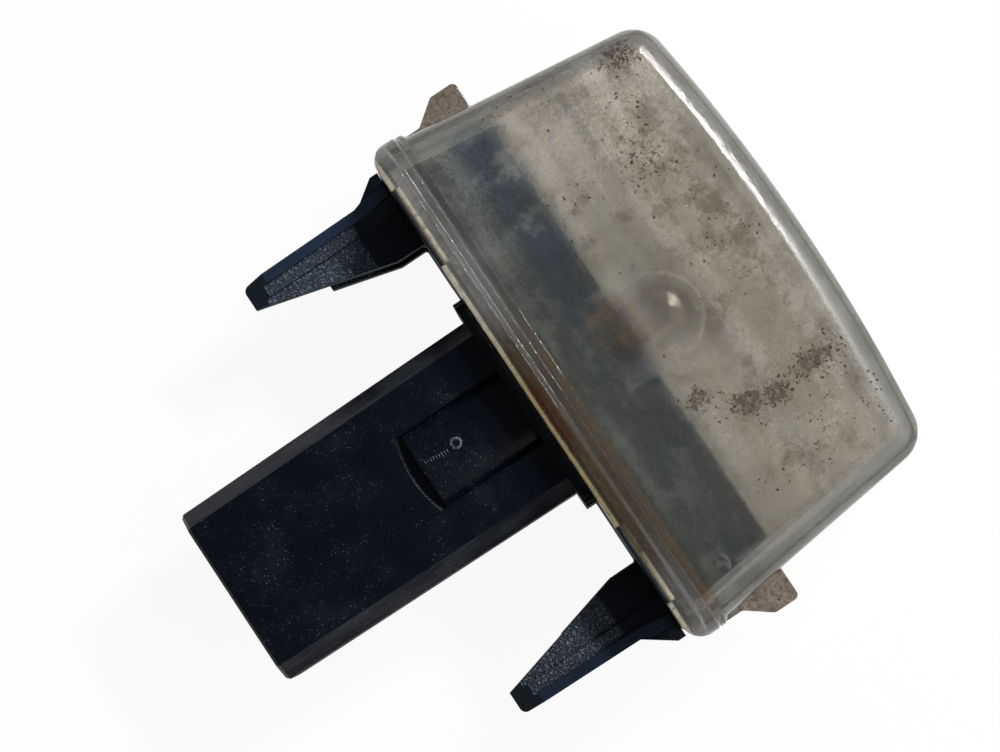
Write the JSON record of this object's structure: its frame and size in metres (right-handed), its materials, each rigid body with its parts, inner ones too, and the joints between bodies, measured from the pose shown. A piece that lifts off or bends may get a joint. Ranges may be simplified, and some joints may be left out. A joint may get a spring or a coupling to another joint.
{
  "type": "number plate lamp",
  "caption": "Snap-in number plate lamp: deep hazed clear lens over a black housing with a wedge bulb, side snap wings and a latching connector shroud behind.",
  "frame": {"origin": "centre of the rear face of the lens rim, which meets the panel", "axes": "+Y out of the panel side along the connector, X along the lamp, +Z the broad side with the latch pocket; the lens faces -Y"},
  "size_m": [0.0642, 0.0698, 0.026],
  "materials": {
    "lens": "clear acrylic, hazed and dirty",
    "housing": "black moulded plastic, fine spark-eroded texture on the webs",
    "contact": "tarnished",
    "wire": "plain wire",
    "bulb_glass": "clear",
    "filament": "tungsten"
  },
  "bodies": {
    "root": {"lens": "lens", "housing": "housing", "contact_near": "contact", "contact_far": "contact", "lead_wire_near": "wire", "lead_wire_far": "wire", "bulb_glass": "bulb_glass", "bulb_filament": "filament"}
  },
  "joints": []
}
